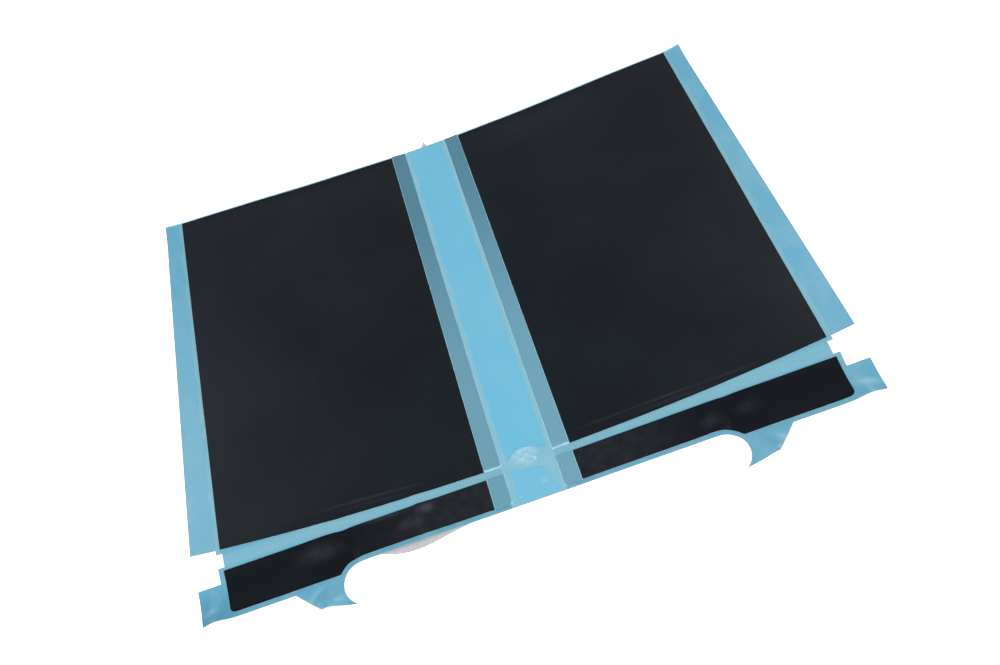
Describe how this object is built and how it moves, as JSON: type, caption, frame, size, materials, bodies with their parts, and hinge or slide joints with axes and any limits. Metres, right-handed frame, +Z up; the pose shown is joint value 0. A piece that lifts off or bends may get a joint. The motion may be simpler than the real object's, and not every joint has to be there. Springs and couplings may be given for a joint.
{
  "type": "pouch cell insulating jacket",
  "caption": "Die-cut film jacket for a pouch battery cell, laid open: black face panels on blue film, folding leaves and a perforated end flap.",
  "frame": {"origin": "middle of the sheet's outline, on the underside of the release liner, where the part rests", "axes": "+Z up out of the sheet towards the black panels; +Y along the spine, away from the end flap; +X across the spine to the right-hand leaf"},
  "size_m": [0.442, 0.3692, 0.0107],
  "materials": {
    "release_liner": "thin whitish translucent release liner",
    "carrier_film": "thin glossy pale blue translucent film",
    "glue": "clear glossy transfer adhesive that deepens the blue under it",
    "black_panel": "matte black insulating film with a fine leather-like grain",
    "frosted_strip": "frosted translucent film, grey-blue over the carrier"
  },
  "bodies": {
    "spine": {"spine_release_liner": "release_liner", "spine_carrier_film": "carrier_film", "spine_glue_web": "glue"},
    "left_leaf": {"left_leaf_release_liner": "release_liner", "left_leaf_carrier_film": "carrier_film", "left_leaf_glue_layer": "glue", "left_leaf_black_panel": "black_panel", "left_leaf_frosted_strip": "frosted_strip"},
    "right_leaf": {"right_leaf_release_liner": "release_liner", "right_leaf_carrier_film": "carrier_film", "right_leaf_glue_layer": "glue", "right_leaf_black_panel": "black_panel", "right_leaf_frosted_strip": "frosted_strip"},
    "centre_flap": {"centre_flap_release_liner": "release_liner", "centre_flap_carrier_film": "carrier_film", "centre_flap_glue_web": "glue"},
    "left_flap": {"left_flap_release_liner": "release_liner", "left_flap_carrier_film": "carrier_film", "left_flap_glue_layer": "glue", "left_flap_black_panel": "black_panel", "left_flap_frosted_strip": "frosted_strip"},
    "right_flap": {"right_flap_release_liner": "release_liner", "right_flap_carrier_film": "carrier_film", "right_flap_glue_layer": "glue", "right_flap_black_panel": "black_panel", "right_flap_frosted_strip": "frosted_strip"}
  },
  "joints": [
    {"name": "left_leaf_fold", "type": "hinge", "parent": "spine", "child": "left_leaf", "pos_m": [-0.0155, -0.1308, 0.00035], "axis": [0, 1, 0], "range_deg": [0, 84]},
    {"name": "right_leaf_fold", "type": "hinge", "parent": "spine", "child": "right_leaf", "pos_m": [0.0155, -0.1308, 0.00035], "axis": [0, -1, 0], "range_deg": [0, 84]},
    {"name": "centre_flap_fold", "type": "hinge", "parent": "spine", "child": "centre_flap", "pos_m": [0, -0.1308, 0.00035], "axis": [-1, 0, 0], "range_deg": [0, 165]},
    {"name": "left_flap_fold", "type": "hinge", "parent": "left_leaf", "child": "left_flap", "pos_m": [-0.02858, -0.1308, 0.00101], "axis": [-0.9987, 0, 0.0506], "range_deg": [0, 165]},
    {"name": "right_flap_fold", "type": "hinge", "parent": "right_leaf", "child": "right_flap", "pos_m": [0.02858, -0.1308, 0.00101], "axis": [-0.9987, 0, -0.0506], "range_deg": [0, 165]}
  ],
  "couplings": [
    {"joint": "left_flap_fold", "follows": "centre_flap_fold", "ratio": 1},
    {"joint": "right_flap_fold", "follows": "centre_flap_fold", "ratio": 1}
  ]
}
